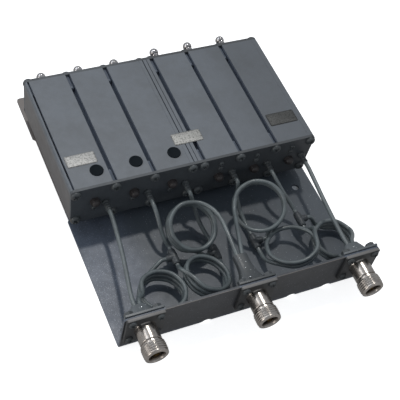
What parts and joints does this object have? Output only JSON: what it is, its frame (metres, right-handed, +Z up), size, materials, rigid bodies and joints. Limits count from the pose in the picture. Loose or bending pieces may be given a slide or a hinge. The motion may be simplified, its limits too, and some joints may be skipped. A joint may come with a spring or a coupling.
{
  "type": "cavity duplexer",
  "caption": "Coaxial cavity duplexer for a two-way radio: extruded cavity box with tuning rods on a folded tray, coiled coaxial harness and flanged coaxial jacks.",
  "frame": {"origin": "the middle of the tray's underside, on the face that lies on the surface below", "axes": "+X to the right along the front wall, +Y from the jacks to the tuning rods, +Z up from the tray"},
  "size_m": [0.1828, 0.2352, 0.0438],
  "materials": {
    "tray_paint": "satin",
    "box_paint": "satin",
    "plate_paint": "satin",
    "hood_paint": "satin",
    "screw_paint": "satin",
    "screw": "satin",
    "nickel": "polished",
    "rod": "polished",
    "brass": "satin",
    "copper": "satin",
    "plug": "matte",
    "insulator": "satin",
    "cable": "satin"
  },
  "bodies": {
    "duplexer": {"tray": "tray_paint", "box_spacers": "nickel", "spacer_screws": "screw", "bank_low": "box_paint", "bank_high": "box_paint", "port_plugs": "plug", "front_end_plate": "plate_paint", "back_end_plate": "plate_paint", "front_plate_screws": "screw_paint", "back_plate_screws": "screw_paint", "conductor_1": "copper", "conductor_2": "copper", "conductor_3": "copper", "conductor_4": "copper", "conductor_5": "copper", "conductor_6": "copper", "resonator_nuts": "screw_paint", "loop_screws": "screw_paint", "coupling_loops": "copper", "cable_glands": "screw_paint", "rod_lock_nuts": "brass", "jack_low": "nickel", "jack_common": "nickel", "jack_high": "nickel", "jack_insulators": "insulator", "jack_contacts": "brass", "flange_screws": "screw_paint", "flange_nuts": "screw_paint", "hood_low": "hood_paint", "hood_common": "hood_paint", "hood_high": "hood_paint", "harness_tees": "cable", "lead_1": "cable", "lead_2": "cable", "lead_3": "cable", "lead_4": "cable", "lead_5": "cable", "lead_6": "cable", "link_1": "cable", "link_2": "cable", "link_3": "cable", "link_4": "cable", "link_5": "cable", "link_6": "cable"},
    "tuning_rod_1": {"tuning_rod_1": "rod"},
    "tuning_rod_2": {"tuning_rod_2": "rod"},
    "tuning_rod_3": {"tuning_rod_3": "rod"},
    "tuning_rod_4": {"tuning_rod_4": "rod"},
    "tuning_rod_5": {"tuning_rod_5": "rod"},
    "tuning_rod_6": {"tuning_rod_6": "rod"}
  },
  "joints": [
    {"name": "tune_1", "type": "slide", "parent": "duplexer", "child": "tuning_rod_1", "axis": [0, 1, 0], "range_m": [-0.0045, 0.0125]},
    {"name": "tune_2", "type": "slide", "parent": "duplexer", "child": "tuning_rod_2", "axis": [0, 1, 0], "range_m": [-0.0045, 0.0125]},
    {"name": "tune_3", "type": "slide", "parent": "duplexer", "child": "tuning_rod_3", "axis": [0, 1, 0], "range_m": [-0.0045, 0.0125]},
    {"name": "tune_4", "type": "slide", "parent": "duplexer", "child": "tuning_rod_4", "axis": [0, 1, 0], "range_m": [-0.012, 0.005]},
    {"name": "tune_5", "type": "slide", "parent": "duplexer", "child": "tuning_rod_5", "axis": [0, 1, 0], "range_m": [-0.012, 0.005]},
    {"name": "tune_6", "type": "slide", "parent": "duplexer", "child": "tuning_rod_6", "axis": [0, 1, 0], "range_m": [-0.012, 0.005]}
  ]
}
